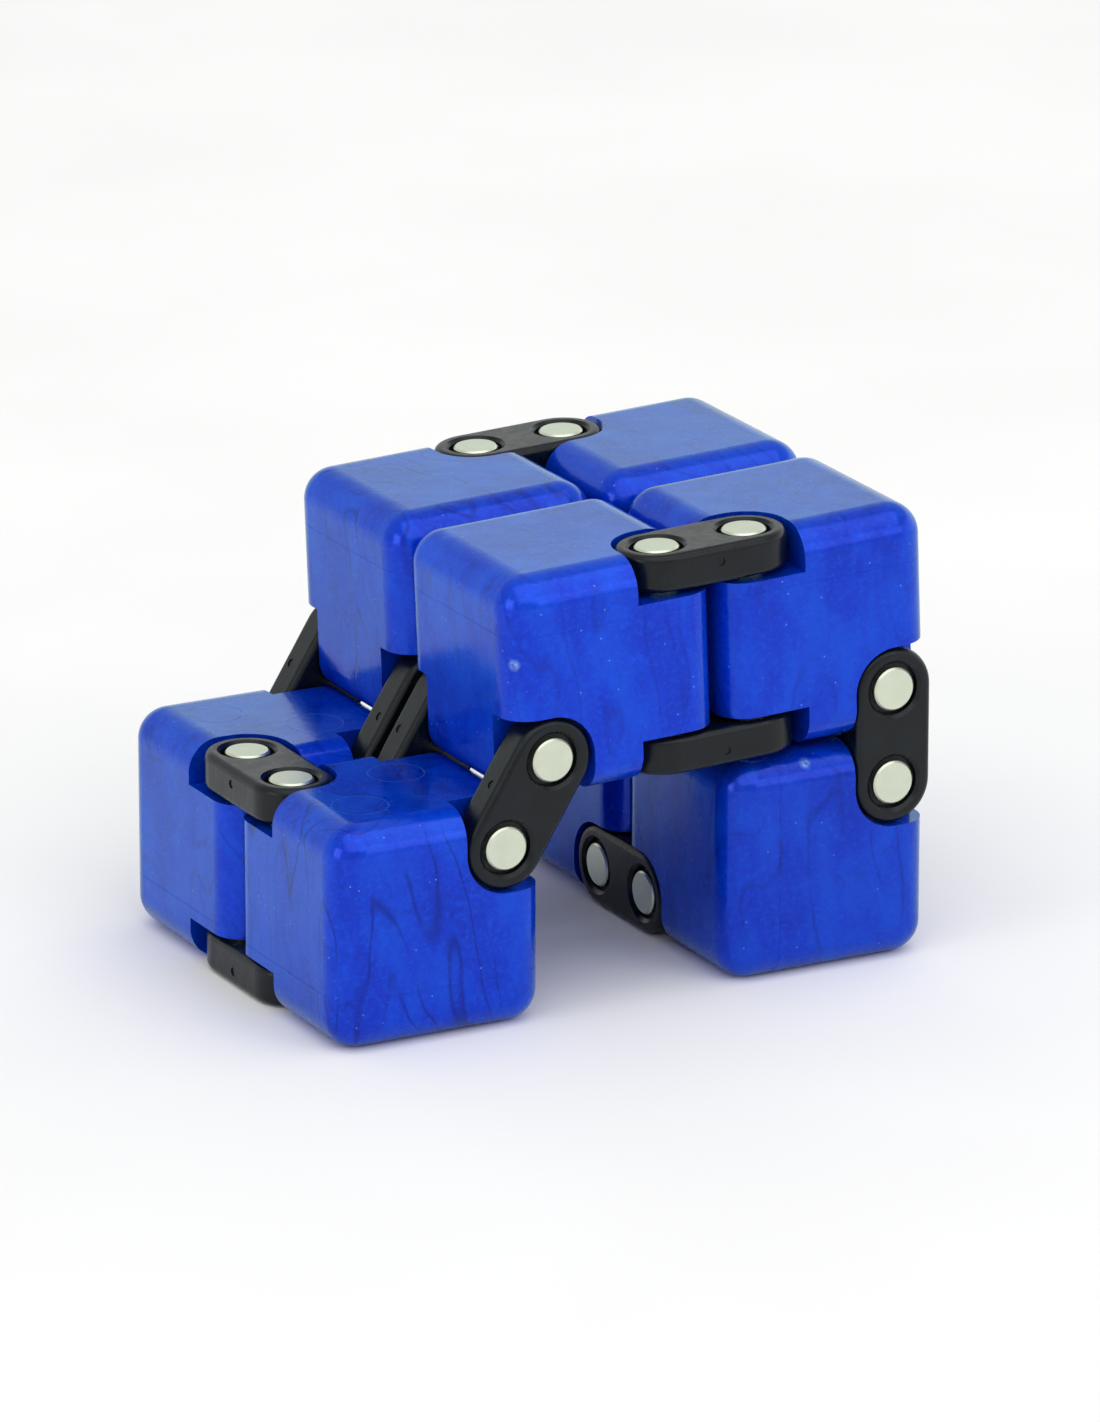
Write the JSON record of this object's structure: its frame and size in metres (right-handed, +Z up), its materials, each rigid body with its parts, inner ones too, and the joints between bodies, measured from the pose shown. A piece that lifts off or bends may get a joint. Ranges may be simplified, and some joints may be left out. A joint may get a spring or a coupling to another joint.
{
  "type": "infinity cube",
  "caption": "Pocket fidget toy: small rounded hollow cubes joined in an endless ring by double-pin links, shown half unfolded on a flat surface.",
  "frame": {"origin": "middle of the bottom of the whole object's box, on the surface that it stands on", "axes": "+X to the right along the row of cubes, away from the folded-out pair; +Y to the back; +Z up"},
  "size_m": [0.0566, 0.04, 0.04],
  "materials": {
    "blue_plastic": "glossy, pearlescent",
    "black_plastic": "satin",
    "pin_steel": "nickel-plated, fine matte"
  },
  "bodies": {
    "lower_right_pair": {"lower_front_right_housing": "blue_plastic", "lower_front_right_cover": "blue_plastic", "lower_back_right_housing": "blue_plastic", "lower_back_right_cover": "blue_plastic", "lower_right_hinge_left_link": "black_plastic", "lower_right_hinge_right_link": "black_plastic", "lower_right_hinge_front_pin": "pin_steel", "lower_right_hinge_back_pin": "pin_steel"},
    "right_front_links": {"right_front_hinge_front_link": "black_plastic", "right_front_hinge_back_link": "black_plastic", "right_front_hinge_lower_pin": "pin_steel", "right_front_hinge_upper_pin": "pin_steel"},
    "right_back_links": {"right_back_hinge_front_link": "black_plastic", "right_back_hinge_back_link": "black_plastic", "right_back_hinge_lower_pin": "pin_steel", "right_back_hinge_upper_pin": "pin_steel"},
    "upper_block": {"upper_front_left_housing": "blue_plastic", "upper_front_left_cover": "blue_plastic", "upper_front_right_housing": "blue_plastic", "upper_front_right_cover": "blue_plastic", "upper_back_left_housing": "blue_plastic", "upper_back_left_cover": "blue_plastic", "upper_back_right_housing": "blue_plastic", "upper_back_right_cover": "blue_plastic", "upper_front_hinge_bottom_link": "black_plastic", "upper_front_hinge_top_link": "black_plastic", "upper_front_hinge_left_pin": "pin_steel", "upper_front_hinge_right_pin": "pin_steel", "upper_back_hinge_bottom_link": "black_plastic", "upper_back_hinge_top_link": "black_plastic", "upper_back_hinge_left_pin": "pin_steel", "upper_back_hinge_right_pin": "pin_steel"},
    "left_front_links": {"left_front_hinge_front_link": "black_plastic", "left_front_hinge_back_link": "black_plastic", "left_front_hinge_upper_pin": "pin_steel", "left_front_hinge_lower_pin": "pin_steel"},
    "left_back_links": {"left_back_hinge_front_link": "black_plastic", "left_back_hinge_back_link": "black_plastic", "left_back_hinge_upper_pin": "pin_steel", "left_back_hinge_lower_pin": "pin_steel"},
    "lower_left_pair": {"lower_front_left_housing": "blue_plastic", "lower_front_left_cover": "blue_plastic", "lower_back_left_housing": "blue_plastic", "lower_back_left_cover": "blue_plastic", "lower_left_hinge_top_link": "black_plastic", "lower_left_hinge_bottom_link": "black_plastic", "lower_left_hinge_front_pin": "pin_steel", "lower_left_hinge_back_pin": "pin_steel"}
  },
  "joints": [
    {"name": "right_hinge_swing", "type": "hinge", "parent": "lower_right_pair", "child": "right_front_links", "pos_m": [0.02454, -0.01022, 0.01585], "axis": [0, 1, 0], "range_deg": [0, 90]},
    {"name": "right_back_hinge_swing", "type": "hinge", "parent": "lower_right_pair", "child": "right_back_links", "pos_m": [0.02454, 0.01022, 0.01585], "axis": [0, 1, 0], "range_deg": [0, 90]},
    {"name": "upper_block_fold", "type": "hinge", "parent": "right_front_links", "child": "upper_block", "pos_m": [0.02454, -0.01022, 0.02415], "axis": [0, 1, 0], "range_deg": [0, 92.2]},
    {"name": "left_hinge_swing", "type": "hinge", "parent": "upper_block", "child": "left_front_links", "pos_m": [-0.00804, -0.01022, 0.0229], "axis": [0, 1, 0], "range_deg": [-34.07, 55.93]},
    {"name": "left_back_hinge_swing", "type": "hinge", "parent": "upper_block", "child": "left_back_links", "pos_m": [-0.00804, 0.01022, 0.0229], "axis": [0, 1, 0], "range_deg": [-34.07, 55.93]},
    {"name": "left_pair_fold", "type": "hinge", "parent": "left_front_links", "child": "lower_left_pair", "pos_m": [-0.01242, -0.01022, 0.01585], "axis": [0, 1, 0], "range_deg": [-55.93, 31.87]}
  ],
  "couplings": [
    {"joint": "right_back_hinge_swing", "follows": "right_hinge_swing", "ratio": 1},
    {"joint": "left_back_hinge_swing", "follows": "left_hinge_swing", "ratio": 1}
  ]
}
